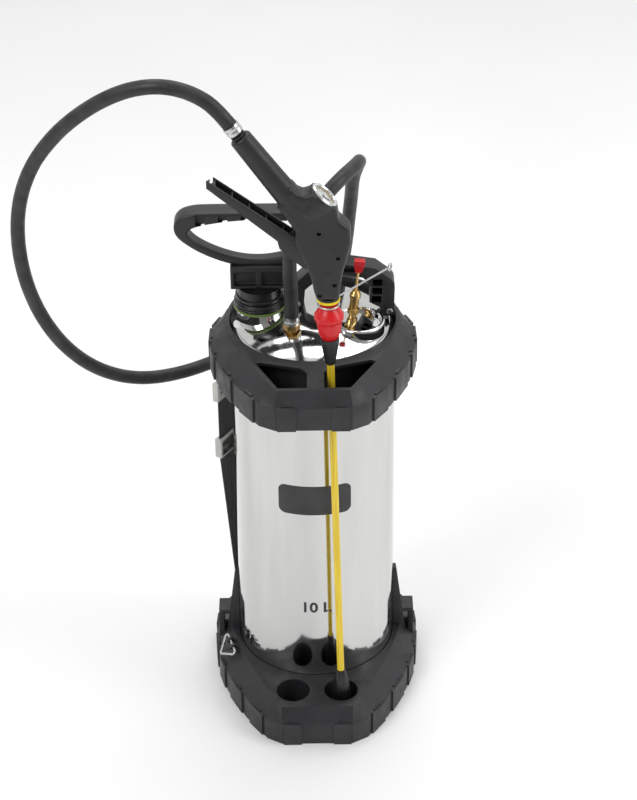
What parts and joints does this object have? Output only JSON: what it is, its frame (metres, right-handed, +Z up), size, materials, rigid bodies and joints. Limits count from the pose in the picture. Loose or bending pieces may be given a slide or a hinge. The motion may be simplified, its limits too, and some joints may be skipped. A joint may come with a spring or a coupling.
{
  "type": "pump sprayer",
  "caption": "Hand-pumped stainless pressure sprayer on a moulded foot, with an upright pump, relief valve, hose, trigger gun and a parked lance.",
  "frame": {"origin": "on the tank's axis, at the underside of the foot, where it meets the floor", "axes": "+Z up the tank, -Y towards the front where the lance parks, +X to the right"},
  "size_m": [0.4598, 0.3306, 0.8608],
  "materials": {
    "stainless": "polished stainless steel, soft mirror reflections",
    "guard_rubber": "dark grey moulded impact plastic, fine grain",
    "black_plastic": "black moulded plastic, satin",
    "hose_rubber": "black rubber hose, matt",
    "brass": "turned brass",
    "steel": "zinc-plated steel",
    "red_plastic": "red moulded plastic",
    "yellow_plastic": "yellow moulded plastic",
    "yellow_tube": "yellow glass-fibre lance tube",
    "seal_green": "green rubber seal",
    "seal_black": "black rubber",
    "webbing": "woven black polyester webbing",
    "grey_plastic": "light grey nylon buckle",
    "dial_white": "printed white dial",
    "lens": "clear gauge lens",
    "label_black": "plain dark label plate"
  },
  "bodies": {
    "root": {"tank_shell": "stainless", "pump_neck": "stainless", "valve_cup": "stainless", "handle_lugs": "steel", "base_guard": "guard_rubber", "top_guard": "guard_rubber", "strap_webbing": "webbing", "strap_slider": "grey_plastic", "strap_buckle": "grey_plastic", "strap_anchor": "black_plastic", "pump_seal": "seal_green", "outlet_nut": "brass", "tank_ferrule": "steel", "dip_tube": "black_plastic", "relief_body": "brass", "carry_handle": "black_plastic", "handle_screws": "steel", "pump_collar": "black_plastic", "pump_barrel": "black_plastic", "foot_valve": "seal_black", "gun_housing_front": "black_plastic", "gun_housing_back": "black_plastic", "trigger_pin": "steel", "gun_screws": "steel", "valve_body": "brass", "valve_spring": "steel", "grip_pipe": "brass", "gauge_case": "brass", "gauge_rim": "steel", "gauge_dial": "dial_white", "gauge_lens": "lens", "grip_neck": "black_plastic", "gun_ferrule": "steel", "gun_outlet": "black_plastic", "yellow_ring": "yellow_plastic", "union_nut": "red_plastic", "lance_sleeve": "black_plastic", "lance_tube": "yellow_tube", "nozzle_holder": "black_plastic", "nozzle_spigot": "brass", "tank_label": "label_black", "hose": "hose_rubber"},
    "pump_plunger": {"pump_rod": "black_plastic", "pump_piston": "black_plastic", "piston_seal": "seal_black"},
    "pump_grip": {"pump_handle": "black_plastic"},
    "gun_trigger": {"trigger": "black_plastic"},
    "gun_valve": {"valve_stem": "steel"},
    "relief_pull": {"relief_stem": "brass", "relief_knob": "red_plastic"},
    "gauge_pointer": {"gauge_needle": "seal_black"},
    "spray_nozzle": {"nozzle_cap": "black_plastic"},
    "carry_ring": {"strap_ring": "steel"},
    "park_hook": {"lance_hook": "steel"}
  },
  "joints": [
    {"name": "pump_stroke", "type": "slide", "parent": "root", "child": "pump_plunger", "axis": [0, 0, 1], "range_m": [0, 0.2]},
    {"name": "pump_handle_lock", "type": "hinge", "parent": "pump_plunger", "child": "pump_grip", "pos_m": [-0.06, 0.004, 0.6], "axis": [0, 0, 1], "range_deg": [0, 45]},
    {"name": "trigger_squeeze", "type": "hinge", "parent": "root", "child": "gun_trigger", "pos_m": [0.008, -0.121, 0.664], "axis": [0, 1, 0], "range_deg": [0, 10], "stiffness_Nm_per_rad": 2, "springref_deg": -2.86},
    {"name": "valve_push", "type": "slide", "parent": "root", "child": "gun_valve", "axis": [0, 0, -1], "range_m": [0, 0.0018]},
    {"name": "relief_lift", "type": "slide", "parent": "root", "child": "relief_pull", "axis": [0.1132, 0, 0.9936], "range_m": [0, 0.004], "stiffness_N_per_m": 600, "springref_m": -0.001},
    {"name": "gauge_reading", "type": "hinge", "parent": "root", "child": "gauge_pointer", "pos_m": [0.014, -0.121, 0.7265], "axis": [-0.6575, 0, -0.7534], "range_deg": [0, 270], "stiffness_Nm_per_rad": 0.0005, "springref_deg": -5.73},
    {"name": "nozzle_adjust", "type": "hinge", "parent": "root", "child": "spray_nozzle", "pos_m": [0.0174, -0.121, 0.604], "axis": [0.0216, -0.0045, -0.9998], "range_deg": [0, 180]},
    {"name": "ring_swing", "type": "hinge", "parent": "root", "child": "carry_ring", "pos_m": [-0.1049, -0.035, 0.0518], "axis": [-0.2599, 0.9656, 0], "range_deg": [0, 90]},
    {"name": "hook_swing", "type": "hinge", "parent": "root", "child": "park_hook", "pos_m": [0.0174, -0.121, 0.604], "axis": [0.0216, -0.0045, -0.9998], "range_deg": [0, 100]}
  ],
  "couplings": [
    {"joint": "valve_push", "follows": "trigger_squeeze", "m_per_rad": 0.0094}
  ]
}
